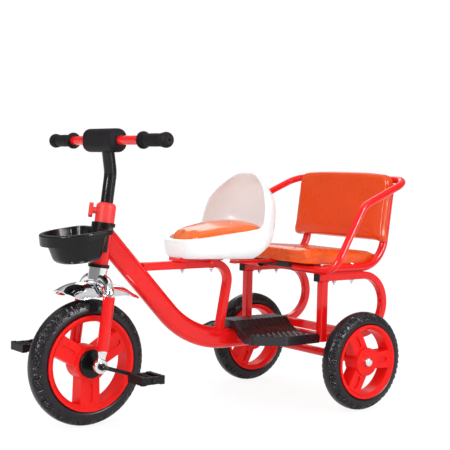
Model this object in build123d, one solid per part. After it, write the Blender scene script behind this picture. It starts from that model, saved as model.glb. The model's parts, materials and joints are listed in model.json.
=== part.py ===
from build123d import *
import os
from math import cos, radians, sin, tan

# Child's two-seat tricycle with pedals on the front wheel.
# Frame: millimetres, +X forward, +Y to the rider's left, +Z up, floor at z = 0,
# origin under the middle of the vehicle's length and width.

# ---------------------------------------------------------------- driving dimensions
wheelbase = 677.0
front_axle_x = 353.0
front_tyre_d = 300.0
front_tyre_w = 52.0
rear_tyre_d = 252.0
rear_tyre_w = 48.0
rear_track = 460.0              # between the centres of the rear tyres
steer_angle = 7.5               # lean of the steering axis from the vertical, degrees

fit_gap = 0.3                   # between pieces that seat on each other
press_gap = 0.15                # radial, between a tyre and its rim
running_gap = 0.06              # radial, in bearings

tube_d = 22.0                   # seat uprights
hoop_d = 19.0                   # armrest hoop
rail_size = 20.0                # square tube of the side frames
rail_corner = 4.0
post_size = 22.0
main_tube_h = 54.0
main_tube_w = 32.0
main_tube_bottom = 149.0
top_tube_h = 20.0
top_tube_w = 22.0
top_tube_z = 369.5

head_d = 44.0
head_low = 233.0                # heights along the steering axis from the front axle
head_high = 318.5
cup_h = 8.0
cup_r = 25.5
upper_cup_h = 4.0
ring_h = 9.0
collar_h = 48.0
stem_d = 30.0

fork_half = 64.0                # half spacing of the fork legs
fork_d = 22.0
sleeve_d = 28.0
crank_length = 93.0
crank_angle = 197.5             # left pedal, from +X towards +Z, degrees
crank_rod_d = 10.0

bar_d = 22.0
grip_inner = 156.0
grip_outer = 262.0

side_y = 155.0                  # middle plane of each side frame
post_x_from_axle = 71.7
loop_radius = 78.0              # rear bend of the side frames, at the tube's middle
loop_x_from_axle = -68.0
top_rail_z = 337.0
seat_half_w = 138.0
back_half_w = 172.0
hoop_half_w = 222.0

# ---------------------------------------------------------------- derived places
rear_axle_x = front_axle_x - wheelbase
front_r = front_tyre_d / 2
rear_r = rear_tyre_d / 2
steer_frame = Location((front_axle_x, 0, front_r), (0, -steer_angle, 0))
front_hub = Location((front_axle_x, 0, front_r))
rail_top = top_rail_z + rail_size / 2
post_x = rear_axle_x + post_x_from_axle
loop_x = rear_axle_x + loop_x_from_axle


os.makedirs("parts", exist_ok=True)


def save(name, shape):
    """Write one node to its STEP file."""
    export_step(shape, f"parts/{name}.step")


def swept(points, bends, section, x_dir=(0, 1, 0)):
    """A bar of one section along straight runs joined by arcs."""
    path = FilletPolyline(*points, radius=bends)
    start = Plane(origin=path @ 0, x_dir=x_dir, z_dir=path % 0)
    return sweep(start * section, path=path)


def across(radius, y0, y1, x=0.0, z=0.0):
    """A round bar along Y."""
    body = Cylinder(radius, y1 - y0, rotation=(90, 0, 0))
    return Pos(x, (y0 + y1) / 2, z) * body


def along(radius, z0, z1):
    """A round bar along Z."""
    return Pos(0, 0, (z0 + z1) / 2) * Cylinder(radius, z1 - z0)


def mirrored(shape):
    """The same piece on the other side of the middle plane."""
    return mirror(shape, Plane.XZ)


def face_of(lines):
    """A flat face inside a closed run of lines and arcs."""
    return make_face([edge for line in lines for edge in line.edges()])


def largest(shape):
    """The biggest solid of a cut shape."""
    return shape.solids().sort_by(SortBy.VOLUME)[-1]


# ---------------------------------------------------------------- wheels
def tyre(outer_r, width, rim_r):
    """Solid foam tyre: a round crown on straight walls, let into the rim with a narrower foot."""
    inner = rim_r + press_gap
    wall_r = rim_r + 5.0
    half = width / 2
    crown = EllipticalCenterArc((wall_r, 0), outer_r - wall_r, half, start_angle=-90, arc_size=180)
    foot = Polyline((wall_r, half), (inner, half - 4.0), (inner, 4.0 - half), (wall_r, -half))
    return revolve(face_of([crown, foot]), Axis.Y)


rim_web_step = 6.0              # how much narrower the hub is than the rim
rim_lip = 6.0                   # flat edge of the rim outside its sloping throat
rim_dish = 7.5                  # how far the throat and the spokes lie below the rim's edge
rim_throat_share = 0.13         # radial depth of lip and throat, of the rim's radius
spoke_count = 3
spoke_groove_w = 13.0
spoke_groove_depth = 4.0
window_corner = 5.0


def rim(rim_r, width, hub_r, spoke_hub_w, spoke_rim_w, first_angle, bore_r):
    """Moulded rim: a lip with a sloping throat, a hub and broad grooved spokes round windows."""
    throat_r = rim_r * (1 - rim_throat_share)
    half = width / 2
    web_half = half - rim_dish
    profile = Polygon((rim_r, -half), (rim_r, half), (rim_r - rim_lip, half), (throat_r, web_half),
                      (throat_r, -web_half), (rim_r - rim_lip, -half), align=None)
    ring = Rot(90, 0, 0) * revolve(profile, Axis.Y)
    windows = Circle(throat_r) - Circle(hub_r)
    turns = [Rot(0, 0, 90 + 360 / spoke_count * k) for k in range(spoke_count)]
    for turn in turns:
        spoke = Polygon((0, -spoke_hub_w / 2), (rim_r, -spoke_rim_w / 2), (rim_r, spoke_rim_w / 2),
                        (0, spoke_hub_w / 2), align=None)
        windows -= turn * spoke
    windows = Sketch() + [fillet(w.vertices(), window_corner) for w in windows.faces()]
    web = extrude(Circle(throat_r + 2.0) - windows, web_half, both=True)
    hub = Cylinder(hub_r, width - rim_web_step)
    body = web + ring + hub - Cylinder(bore_r, 2 * width)
    groove = SlotOverall(throat_r - hub_r - spoke_groove_w, spoke_groove_w)
    for turn in turns:
        cut = extrude(turn * Pos((throat_r + hub_r) / 2, 0) * groove, spoke_groove_depth, both=True)
        body -= Pos(0, 0, web_half) * cut + Pos(0, 0, -web_half) * cut
    return Rot(90, 0, 0) * Rot(0, 0, first_angle - 90) * body


front_rim_r = 114.0
front_rim_w = 55.0
rear_rim_w = 51.0
rear_rim_r = 95.0
front_bore_r = crank_rod_d / 2 + press_gap
rear_axle_d = 12.0

front_tyre = front_hub * tyre(front_r, front_tyre_w, front_rim_r)
front_rim = front_hub * rim(front_rim_r, front_rim_w, 42.0, 46.0, 54.0, 30.0, front_bore_r)
save("front_tyre", front_tyre)
save("front_rim", front_rim)

flange_r = 33.5
flange_t = 7.0
flange_seat = (front_rim_w - rim_web_step) / 2
flange = Cylinder(flange_r, flange_t) - Cylinder(front_bore_r, 2 * flange_t)
flange = fillet(flange.edges().group_by(Axis.Z)[-1].sort_by(SortBy.RADIUS)[-1], 3.0)
flange = Rot(-90, 0, 0) * flange
flange = Pos(0, flange_seat + fit_gap + flange_t / 2, 0) * flange
save("front_hub_flanges", front_hub * (flange + mirrored(flange)))

crank_c = crank_length * cos(radians(crank_angle))
crank_s = crank_length * sin(radians(crank_angle))
crank_root_y = 82.0
crank_splay = 1.0
pedal_in = 92.0
pedal_out = 154.0
spindle_end = pedal_out + 3.0
crank_out_y = crank_root_y + crank_splay
crank_bend_r = 8.0
housing_r = 17.0                # dropout round the front axle
housing_w = 12.0
crank_points = [
    (crank_c, spindle_end, crank_s), (crank_c, crank_out_y, crank_s), (0, crank_root_y, 0),
    (0, -crank_root_y, 0), (-crank_c, -crank_out_y, -crank_s), (-crank_c, -spindle_end, -crank_s),
]
crank = swept(crank_points, crank_bend_r, Circle(crank_rod_d / 2), x_dir=(1, 0, 0))
cap_r = 8.5
cap_t = 4.0
cap_y = fork_half + housing_w / 2 + fit_gap
cap = across(cap_r, cap_y, cap_y + cap_t)
save("crank_axle", front_hub * (crank + cap + mirrored(cap)))


pedal_l = 62.0
pedal_h = 20.0
pedal_end_t = 8.0
tread_w = 12.0
barrel_r = 9.0
tooth_gap = 5.0
tooth_depth = 2.0
tooth_count = 4


def pedal(side):
    """Moulded pedal: a bored barrel, an end plate on each side and two toothed tread bars."""
    length = pedal_out - pedal_in
    body = across(barrel_r, -length / 2, length / 2)
    for turn in (1, -1):
        body += Pos(turn * (pedal_l - tread_w) / 2, 0, 0) * Box(tread_w, length, pedal_h)
        end_plate = fillet(Box(pedal_l, pedal_end_t, pedal_h - 3.0).edges().filter_by(Axis.Y), 5.0)
        body += Pos(0, turn * (length - pedal_end_t) / 2, 0) * end_plate
    pitch = (length - 2 * pedal_end_t) / tooth_count
    for k in range(tooth_count):
        y = (k - (tooth_count - 1) / 2) * pitch
        slot = Box(2 * pedal_l, tooth_gap, 2 * tooth_depth)
        body -= Pos(0, y, pedal_h / 2) * slot + Pos(0, y, -pedal_h / 2) * slot
    body -= across(crank_rod_d / 2 + running_gap, -length, length)
    y_mid = side * (pedal_in + pedal_out) / 2
    place = Pos(side * crank_c, y_mid, side * crank_s)
    return front_hub * place * body


save("pedal_left", pedal(1))
save("pedal_right", pedal(-1))

for name, side in (("left", 1), ("right", -1)):
    hub = Location((rear_axle_x, side * rear_track / 2, rear_r))
    save(f"rear_tyre_{name}", hub * tyre(rear_r, rear_tyre_w, rear_rim_r))
    wheel = rim(rear_rim_r, rear_rim_w, 36.0, 40.0, 46.0, 60.0, rear_axle_d / 2 + running_gap)
    save(f"rear_rim_{name}", hub * wheel)

# ---------------------------------------------------------------- fork and steering
steerer_d = 34.0
fork_arch_s = 200.0
leg_low_s = 34.0
arch_r = 38.0
crown_r = 22.5
crown_low = 196.0
cup_low_s = head_low - cup_h
cup_high_s = head_high + upper_cup_h
ring_low = cup_high_s + fit_gap
collar_low = ring_low + ring_h + fit_gap
collar_high = collar_low + collar_h
steerer_top = collar_high - 8.0
stem_low = 290.0
stem_drop = 40.0                # how far the handlebar can be lowered
stem_bore_r = stem_d / 2 + running_gap
steerer_bore_r = steerer_d / 2 + press_gap

fork_points = [(0, fork_half, leg_low_s), (0, fork_half, fork_arch_s),
               (0, -fork_half, fork_arch_s), (0, -fork_half, leg_low_s)]
fork = swept(fork_points, arch_r, Circle(fork_d / 2), x_dir=(1, 0, 0))
fork += along(steerer_d / 2, fork_arch_s, steerer_top)
fork += along(crown_r, crown_low, cup_low_s - fit_gap)
fork -= along(stem_bore_r, stem_low - stem_drop - 5.0, steerer_top + 1.0)
save("fork", steer_frame * fork)

sleeve_low = 36.0
sleeve_high = 162.0
for name, side in (("left", 1), ("right", -1)):
    sleeve = along(sleeve_d / 2, sleeve_low, sleeve_high)
    sleeve -= along(fork_d / 2 + press_gap, 0.0, 2 * sleeve_high)
    save(f"fork_sleeve_{name}", steer_frame * Pos(0, side * fork_half, 0) * sleeve)

neck_w = 25.0
waist_w = 19.0
neck_t = 5.0
neck_top = leg_low_s - fit_gap
neck_side = [(waist_w / 2, 8.0), (waist_w / 2, neck_top - 12.0), (neck_w / 2, neck_top)]
neck_plan = Polygon(*neck_side, *[(-x, z) for x, z in reversed(neck_side)], align=None)
neck = Pos(0, fork_half, 0) * extrude(Plane.XZ * neck_plan, neck_t / 2, both=True)
housing = across(housing_r, fork_half - housing_w / 2, fork_half + housing_w / 2)
housing = fillet(housing.edges(), 2.0)
dropout = housing + neck - across(crank_rod_d / 2 + running_gap, 0, 2 * fork_half)
save("dropout_left", steer_frame * dropout)
save("dropout_right", steer_frame * mirrored(dropout))

# Mudguard: a thin crowned band over the tyre, its front end turned up, seated between the fork sleeves.
guard_half_w = fork_half - sleeve_d / 2 - fit_gap
guard_t = 2.0
guard_sections = [              # angle round the front axle, crown radius, edge radius, half width
    (66.0, 190.0, 184.0, 30.0), (71.0, 193.0, 170.0, 46.0), (79.0, 193.5, 160.0, 49.0),
    (88.0, 190.0, 160.0, guard_half_w), (97.5, 187.5, 161.0, guard_half_w), (107.0, 191.0, 166.0, 49.0),
    (118.0, 198.0, 179.0, 48.0), (128.0, 199.0, 192.0, 42.0),
]


def guard_section(angle, crown_radius, edge_radius, half_w):
    """Thin arched strip across the tyre, on the plane through the axle at an angle from +X."""
    turn = radians(angle)
    plane = Plane(origin=(front_axle_x, 0, front_r), x_dir=(0, 1, 0), z_dir=(-sin(turn), 0, cos(turn)))
    out = 1 if plane.y_dir.X * cos(turn) + plane.y_dir.Z * sin(turn) > 0 else -1
    crown_y = out * crown_radius
    edge_y = out * edge_radius
    under = -out * guard_t
    top = ThreePointArc((-half_w, edge_y), (0, crown_y), (half_w, edge_y))
    low = ThreePointArc((-half_w, edge_y + under), (0, crown_y + under), (half_w, edge_y + under))
    return plane * face_of([top, Line(top @ 1, low @ 1), low, Line(low @ 0, top @ 0)])


mudguard = loft([guard_section(*values) for values in guard_sections])
stay_r = 7.0
stay_low = 172.0
stay = along(stay_r, stay_low, fork_arch_s - fork_d / 2 - fit_gap)
save("mudguard", mudguard + steer_frame * stay)

# Clamp collar round the steerer, with a wing knob on its front.
collar_r = 23.5
collar = Cylinder(collar_r, collar_h)
collar = fillet(collar.edges().group_by(Axis.Z)[-1], 12.0)
collar = Pos(0, 0, (collar_low + collar_high) / 2) * collar
collar -= along(steerer_bore_r, collar_low - 1.0, steerer_top + fit_gap)
collar -= along(stem_d / 2 + fit_gap, collar_low, collar_high + 1.0)
save("clamp_collar", steer_frame * collar)

knob_aim = -20.0
knob_seat = collar_r + fit_gap
knob_s = collar_low + 26.0
knob_r = 8.0
wing_l = 35.0
wing_w = 15.0
wing_t = 8.0
wing_off = 12.0
knob = Pos(knob_seat + 3.0, 0, 0) * Rot(0, 90, 0) * Cylinder(knob_r, 10.0)
wing = Pos(knob_seat + wing_off, 0, 0) * Box(wing_t, wing_w, wing_l)
knob += fillet(wing.edges().filter_by(Axis.X), 6.0)
knob -= Cylinder(knob_seat, 60.0)
save("clamp_knob", steer_frame * Pos(0, 0, knob_s) * Rot(0, 0, knob_aim) * knob)

# ---------------------------------------------------------------- handlebar
stem_bend_s = 450.0
bar_f = 21.7
bar_s = 525.0
stem_bend_r = 90.0
stem_points = [(0, 0, stem_low), (0, 0, stem_bend_s), (bar_f, 0, bar_s)]
bar_spot = steer_frame * Location((bar_f, 0, bar_s))
bar_x = bar_spot.position.X
bar_z = bar_spot.position.Z
stem = steer_frame * swept(stem_points, stem_bend_r, Circle(stem_d / 2))
stem -= across(bar_d / 2 + fit_gap, -60, 60, bar_x, bar_z)
save("stem", stem)

bar_end = grip_outer - 8.0
save("handlebar", across(bar_d / 2, -bar_end, bar_end, bar_x, bar_z))

grip_len = grip_outer - grip_inner
grip_bore_r = bar_d / 2 + press_gap
grip_stop = bar_end - grip_inner + fit_gap
grip_r = 13.2
grip_disc_r = 20.0
grip_hub_r = 16.0
grip_bulb_r = 17.3
end_hole_r = 2.5
end_hole_depth = 5.0
bulb_start = grip_len - 21.0
grip_outline = [
    Polyline((grip_bore_r, 0), (grip_disc_r - 1.5, 0), (grip_disc_r, 1.5), (grip_disc_r, 4.0),
             (grip_disc_r - 1.0, 5.0), (grip_hub_r, 5.0), (grip_hub_r, 9.0), (grip_r, 10.5)),
    ThreePointArc((grip_r, 10.5), (grip_r + 0.9, 48.0), (grip_r, bulb_start - 5.0)),
    Polyline((grip_r, bulb_start - 5.0), (grip_hub_r, bulb_start - 4.0), (grip_hub_r, bulb_start - 1.0),
             (grip_hub_r - 0.8, bulb_start)),
    ThreePointArc((grip_hub_r - 0.8, bulb_start), (grip_bulb_r, bulb_start + 11.0), (9.0, grip_len)),
    Polyline((9.0, grip_len), (end_hole_r, grip_len), (end_hole_r, grip_len - end_hole_depth),
             (0, grip_len - end_hole_depth), (0, grip_stop), (grip_bore_r, grip_stop), (grip_bore_r, 0)),
]
grip = Pos(bar_x, grip_inner, bar_z) * revolve(face_of(grip_outline), Axis.Y)
save("grip_left", grip)
save("grip_right", mirrored(grip))

pad_len = 150.0
pad_shift = -12.0               # the pad sits a little to the right of the middle
pad_w = 46.0
pad_h = 56.0
pad_corner = 20.0
pad_end_r = 18.0
pad = Box(pad_w, pad_len, pad_h)
pad = fillet(pad.edges().filter_by(Axis.Y), pad_corner)
pad = fillet(pad.edges().group_by(Axis.Y)[0] + pad.edges().group_by(Axis.Y)[-1], pad_end_r)
pad = Pos(bar_x, pad_shift, bar_z) * pad
pad -= across(bar_d / 2 + fit_gap, -pad_len, pad_len, bar_x, bar_z)
pad -= steer_frame * swept(stem_points, stem_bend_r, Circle(stem_d / 2 + fit_gap))
save("handlebar_pad", pad)

# ---------------------------------------------------------------- basket
basket_l = 148.0
basket_half_w = 85.0
basket_nose_r = 80.0            # front corners, nearly a half circle
basket_rear_r = 30.0
basket_depth = 72.0
basket_wall = 2.5
basket_lip = 9.0                # from the rim's outer edge to the tub
basket_taper = 20.0
basket_tilt = 7.3
basket_round = 20.0             # between the tub's walls and its floor
basket_rim_rear = (front_axle_x - 30.3, 469.6)
basket_frame = Location((basket_rim_rear[0], 0, basket_rim_rear[1]), (0, basket_tilt, 0))


def basket_plan(inset, z):
    """The basket's outline seen from above, drawn in by an inset."""
    plan = Rectangle(basket_l - 2 * inset, 2 * (basket_half_w - inset))
    plan = fillet(plan.vertices().group_by(Axis.X)[-1], basket_nose_r - inset)
    plan = fillet(plan.vertices().group_by(Axis.X)[0], basket_rear_r - 0.3 * inset)
    return Pos(basket_l / 2, 0, z) * plan


def tub(inset, floor, rounding):
    """Tapered tub down to a floor, with its bottom edges rounded."""
    body = loft([basket_plan(inset + basket_taper, -floor), basket_plan(inset, 0.0)])
    return fillet(body.edges().group_by(Axis.Z)[0], rounding)


skirt_rear = 8.0
skirt_front = 27.0
skirt = extrude(basket_plan(0.0, 0.0), -skirt_front - 10.0)
skirt = fillet(skirt.edges().group_by(Axis.Z)[-1], 3.5)
skirt -= Pos(0, 0, -basket_wall) * extrude(basket_plan(basket_wall, 0.0), -2 * skirt_front)
below_skirt = Polygon((-5, -skirt_rear), (basket_l + 5, -skirt_front), (basket_l + 5, -100), (-5, -100),
                      align=None)
skirt -= extrude(Plane.XZ * below_skirt, 2 * basket_half_w, both=True)
tub_outer = tub(basket_lip, basket_depth, basket_round)
tub_inner = tub(basket_lip + basket_wall, basket_depth - basket_wall, basket_round - basket_wall)
tub_inner += extrude(basket_plan(basket_lip + basket_wall, 0.0), 5.0)
ring_r = 27.0
saddle_low = 262.0              # the tub's rear wall is drawn in round the head down to here
saddle_gap = 1.5
saddle_r = cup_r + saddle_gap
saddle = along(saddle_r + basket_wall, saddle_low, ring_low + ring_h)
saddle -= Pos(-40.0, 0, 0) * Box(80.0, 80.0, 1000.0)
basket = basket_frame * (skirt + tub_outer)
basket_cut = basket_frame * tub_inner
basket_cut -= steer_frame * along(saddle_r + basket_wall, 0.0, 2 * ring_low)
basket -= basket_cut
basket += steer_frame * saddle
basket -= steer_frame * along(saddle_r, 0.0, ring_low)
hook = along(ring_r, ring_low, ring_low + ring_h)
basket += steer_frame * hook
basket -= steer_frame * along(steerer_bore_r, ring_low - 1.0, ring_low + ring_h + 1.0)
save("basket", largest(basket))

# ---------------------------------------------------------------- head tube
cup_bore_r = steerer_d / 2 + running_gap
head = along(head_d / 2, head_low, head_high) - along(cup_bore_r + 1.0, head_low - 1, head_high + 1)
save("head_tube", steer_frame * head)
cup_bore = along(cup_bore_r, 0.0, steerer_top)
lower_cup = along(cup_r, cup_low_s, head_low) - cup_bore
upper_cup = along(cup_r - 2.0, head_high, cup_high_s) - cup_bore
save("head_cups", steer_frame * Compound([lower_cup, upper_cup]))

# ---------------------------------------------------------------- frame tubes
main_slope = 46.5               # of the straight front part, degrees
main_bend_r = 250.0
main_corner_x = front_axle_x - 300.0
main_level_z = main_tube_bottom + main_tube_h / 2
main_rise = 285.0
main_top = (main_corner_x + main_rise / tan(radians(main_slope)), 0, main_level_z + main_rise)
main_rear = post_x + post_size / 2
main_corner = 15.0
main_points = [main_top, (main_corner_x, 0, main_level_z), (main_rear, 0, main_level_z)]
main_tube = swept(main_points, main_bend_r, RectangleRounded(main_tube_w, main_tube_h, main_corner))
main_space = swept(main_points, main_bend_r, RectangleRounded(
    main_tube_w + 2 * fit_gap, main_tube_h + 2 * fit_gap, main_corner + fit_gap))
main_tube -= steer_frame * along(head_d / 2 + fit_gap, 0.0, 2 * head_high)
main_tube -= steer_frame * along(cup_r + fit_gap, 0.0, head_low + fit_gap)
main_tube = largest(main_tube - steer_frame * along(80.0, head_high - 1.0, 2 * head_high))
save("main_tube", main_tube)

top_corner_x = front_axle_x - 422.0
top_foot = (front_axle_x - 390.0, 0, main_tube_bottom + main_tube_h - 3.0)
top_bend_r = 45.0
top_section = RectangleRounded(top_tube_w, top_tube_h, rail_corner)
top_points = [(front_axle_x - 150.0, 0, top_tube_z), (top_corner_x, 0, top_tube_z), top_foot]
top_tube = largest(swept(top_points, top_bend_r, top_section) - main_space)
save("top_tube", top_tube)

# ---------------------------------------------------------------- side frames
rail_front_x = rear_axle_x + 91.0
rail_section = RectangleRounded(rail_size, rail_size, rail_corner)
bottom_rail_z = top_rail_z - 2 * loop_radius
loop_path = Wire([
    Line((rail_front_x, 0, top_rail_z), (loop_x, 0, top_rail_z)),
    ThreePointArc((loop_x, 0, top_rail_z), (loop_x - loop_radius, 0, top_rail_z - loop_radius),
                  (loop_x, 0, bottom_rail_z)),
    Line((loop_x, 0, bottom_rail_z), (post_x, 0, bottom_rail_z)),
])
loop_start = Plane(origin=loop_path @ 0, x_dir=(0, 1, 0), z_dir=loop_path % 0)
side_frame = sweep(loop_start * rail_section, path=loop_path)
post_low = bottom_rail_z - rail_size / 2
post_high = top_rail_z - rail_size / 2 + 1.0
post_section = RectangleRounded(post_size, post_size, rail_corner)
side_frame += Pos(post_x, 0, post_low) * extrude(post_section, post_high - post_low)
save("side_frame_left", Pos(0, side_y, 0) * side_frame)
save("side_frame_right", Pos(0, -side_y, 0) * side_frame)

cross_x = post_x + 4.8
cross_z = rail_top + rail_size / 2
cross_half = side_y + rail_size / 2
save("cross_bar_upper", Pos(cross_x, 0, cross_z) * Box(rail_size, 2 * cross_half, rail_size))
inner_half = side_y - post_size / 2
save("cross_bar_lower", Pos(post_x, 0, bottom_rail_z) * Box(post_size, 2 * inner_half, post_size))
rear_bar_x = rear_axle_x - 48.0
rear_half = side_y - rail_size / 2
save("cross_bar_rear", Pos(rear_bar_x, 0, bottom_rail_z) * Box(rail_size, 2 * rear_half, rail_size))

# ---------------------------------------------------------------- rear axle
plate_t = 4.0
plate_top = bottom_rail_z - rail_size / 2
axle_tube_r = 11.0
rear_web_half = (rear_rim_w - rim_web_step) / 2
plate_outline = Polygon((rear_axle_x - 42.0, plate_top), (rear_axle_x + 42.0, plate_top),
                        (rear_axle_x + 15.0, rear_r - 13.0), (rear_axle_x - 15.0, rear_r - 13.0), align=None)
plate = extrude(Plane.XZ * plate_outline, plate_t / 2, both=True)
spacer_end = rear_track / 2 - rear_web_half - fit_gap
axle_tube = across(axle_tube_r, -spacer_end, spacer_end, rear_axle_x, rear_r)
axle_tube += Pos(0, side_y, 0) * plate + Pos(0, -side_y, 0) * plate
axle_tube -= across(rear_axle_d / 2 + press_gap, -rear_track, rear_track, rear_axle_x, rear_r)
save("rear_axle_tube", axle_tube)
nut_seat = rear_track / 2 + rear_web_half + fit_gap
axle_end = nut_seat + 5.0
save("rear_axle", across(rear_axle_d / 2, -axle_end, axle_end, rear_axle_x, rear_r))
nut_r = 11.5
nut_h = 10.0
nut = fillet(Cylinder(nut_r, nut_h).edges().group_by(Axis.Z)[-1], 6.0)
nut -= Pos(0, 0, -nut_h / 2) * Cylinder(rear_axle_d / 2 + press_gap, 2 * (axle_end - nut_seat + fit_gap))
nut = Pos(rear_axle_x, nut_seat + nut_h / 2, rear_r) * Rot(-90, 0, 0) * nut
save("axle_nuts", Compound([nut, mirrored(nut)]))

# ---------------------------------------------------------------- rear seat uprights and backrest
upright_y = 154.0
upright_lean = 7.7
upright_z = rail_top + tube_d / 2 + fit_gap
upright_corner_x = rear_axle_x - 138.3
upright_bend_r = 80.0
lean_step = tan(radians(upright_lean))
hoop_rear_z = 590.0
upright_top = hoop_rear_z - hoop_d / 2 - fit_gap - tube_d / 2 * sin(radians(upright_lean))


def upright_x(z):
    """Middle of the leaning part of the upright at height z."""
    return upright_corner_x - (z - upright_z) * lean_step


upright_front_x = cross_x - rail_size / 2 - fit_gap
upright = swept([(upright_front_x, 0, upright_z), (upright_corner_x, 0, upright_z),
                 (upright_x(upright_top), 0, upright_top)], upright_bend_r, Circle(tube_d / 2))
save("seat_upright_left", Pos(0, upright_y, 0) * upright)
save("seat_upright_right", Pos(0, -upright_y, 0) * upright)

back_low_z = 428.0
back_high_z = 598.0
back_t = 22.0
board_t = 4.0
lean_cos = cos(radians(upright_lean))
back_offset = tube_d / 2 / lean_cos + fit_gap
back_frame = Location((upright_x(back_low_z) + back_offset, 0, back_low_z), (0, -upright_lean, 0))
back_h = (back_high_z - back_low_z) / lean_cos
board_h = (upright_top - back_low_z) / lean_cos - 3.0
back_board = Pos(board_t / 2, 0, board_h / 2) * Box(board_t, 2 * back_half_w - 8.0, board_h)
back = Pos(board_t + fit_gap + back_t / 2, 0, back_h / 2) * Box(back_t, 2 * back_half_w, back_h)
back = fillet(back.edges().filter_by(Axis.X), 24.0)
back = fillet(back.edges().group_by(Axis.X)[-1], 8.0)
save("backrest_board", back_frame * back_board)
save("backrest_cushion", back_frame * back)

# ---------------------------------------------------------------- armrest hoop
hoop_front_x = cross_x + rail_size / 2 + fit_gap + hoop_d / 2
hoop_front_z = rail_top + hoop_d / 2 + fit_gap
hoop_elbow_x = rear_axle_x - 3.0
hoop_elbow_z = 523.0
cushion_rear = upright_x(hoop_rear_z) + back_offset + (board_t + fit_gap) / lean_cos
hoop_rear_x = cushion_rear - fit_gap - hoop_d / 2 - hoop_d / 2 * lean_step
hoop_tip_y = 70.0
hoop_half = [(hoop_front_x, hoop_tip_y, hoop_front_z), (hoop_front_x, hoop_half_w, hoop_front_z),
             (hoop_elbow_x, hoop_half_w, hoop_elbow_z), (hoop_rear_x, hoop_half_w, hoop_rear_z)]
hoop_points = hoop_half + [(x, -y, z) for x, y, z in reversed(hoop_half)]
hoop_bends = (40.0, 60.0, 45.0, 45.0, 60.0, 40.0)
save("armrest_hoop", swept(hoop_points, hoop_bends, Circle(hoop_d / 2), x_dir=(0, 0, 1)))

plug_t = 3.0
rail_plug = Box(plug_t, rail_size, rail_size)
rail_plug = Pos(rail_front_x + fit_gap + plug_t / 2, side_y, top_rail_z) * rail_plug
tip_y = hoop_tip_y - fit_gap
tip_plug = across(hoop_d / 2, tip_y - plug_t, tip_y, hoop_front_x, hoop_front_z)
save("tube_plugs", Compound([rail_plug, mirrored(rail_plug), tip_plug, mirrored(tip_plug)]))

# ---------------------------------------------------------------- rear seat
tie_t = 6.0
tie_w = 20.0
seat_pitch = 3.5
seat_rear_x = rear_axle_x - 132.0
seat_front_x = rear_axle_x + 115.0
seat_t = 20.0
seat_cos = cos(radians(seat_pitch))
seat_len = (seat_front_x - seat_rear_x) / seat_cos
seat_low_z = upright_z + tube_d / 2 + fit_gap
seat_frame = Location((seat_rear_x, 0, seat_low_z), (0, -seat_pitch, 0))
base_half_w = 140.0
base = seat_frame * Pos(seat_len / 2, 0, board_t / 2) * Box(seat_len - 6.0, 2 * base_half_w, board_t)
rib_top = seat_low_z + (cross_x - seat_rear_x) * tan(radians(seat_pitch)) + 1.0
rib_low = cross_z + rail_size / 2
base += Pos(cross_x, 0, (rib_top + rib_low) / 2) * Box(rail_size, 2 * base_half_w, rib_top - rib_low)
apron_x = seat_front_x - 9.0
apron_low = hoop_front_z
apron_top = seat_low_z + (apron_x - seat_rear_x) * tan(radians(seat_pitch)) + 1.0
base += Pos(apron_x, 0, (apron_top + apron_low) / 2) * Box(4.0, 128.0, apron_top - apron_low)
base -= Pos(seat_front_x, 0, rib_low) * Box(
    2 * (seat_front_x - cross_x + rail_size), tie_w + 2 * fit_gap, 2 * (tie_t + fit_gap))
save("rear_seat_base", base)
cushion = Pos(seat_len / 2, 0, board_t + fit_gap + seat_t / 2) * Box(seat_len, 2 * seat_half_w, seat_t)
cushion = fillet(cushion.edges().filter_by(Axis.Z), 16.0)
cushion = fillet(cushion.edges().group_by(Axis.Z)[-1], 6.0)
save("rear_seat_cushion", seat_frame * cushion)

# ---------------------------------------------------------------- front seat
bracket_rear_x = rear_axle_x + 297.0
bracket_front_x = rear_axle_x + 429.0
bracket_low = top_tube_z + top_tube_h / 2
bracket_h = 13.5
bracket_w = 60.0
bracket_len = bracket_front_x - bracket_rear_x
bracket = fillet(Box(bracket_len, bracket_w, bracket_h).edges().filter_by(Axis.Z), 6.0)
bracket = Pos((bracket_rear_x + bracket_front_x) / 2, 0, bracket_low + bracket_h / 2) * bracket
barrel_x = bracket_rear_x + 33.0
bracket += across(12.0, -36.0, 36.0, barrel_x, bracket_low + 4.0)
bracket -= Pos(barrel_x, 0, bracket_low - 20.0) * Box(60.0, top_tube_w + 2 * fit_gap, 40.0)
save("front_seat_bracket", bracket)
seat_base_z = bracket_low + bracket_h

tie_rear_x = cross_x - 8.0
tie_front_x = top_corner_x - 6.0
tie_low = cross_z + rail_size / 2
tie_len = tie_front_x - tie_rear_x
tie = Pos((tie_rear_x + tie_front_x) / 2, 0, tie_low + tie_t / 2) * Box(tie_len, tie_w, tie_t)
save("tie_bar", largest(tie - top_tube))

# Bucket seat: a lofted shell, hollow underneath, with a pan scooped out in front of the back.
shell_base = seat_base_z - 5.0
shell_wall = 4.0
pan_z = 424.0
shell_levels = [                # height, nose, rear, half width, widest place; lengths from the rear axle
    (shell_base, 430.0, 252.0, 102.0, 262.0), (shell_base + 10.0, 438.0, 222.0, 116.0, 260.0),
    (shell_base + 32.0, 440.0, 180.0, 128.0, 256.0), (465.0, 440.0, 159.0, 132.0, 251.0),
    (513.0, 440.0, 156.0, 127.0, 243.0), (556.0, 440.0, 168.0, 103.0, 231.0),
    (586.0, 440.0, 187.0, 64.0, 216.0), (601.0, 440.0, 203.0, 14.0, 209.0),
]
lip_insets = (7.0, 5.0, 5.0, 5.0)


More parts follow.
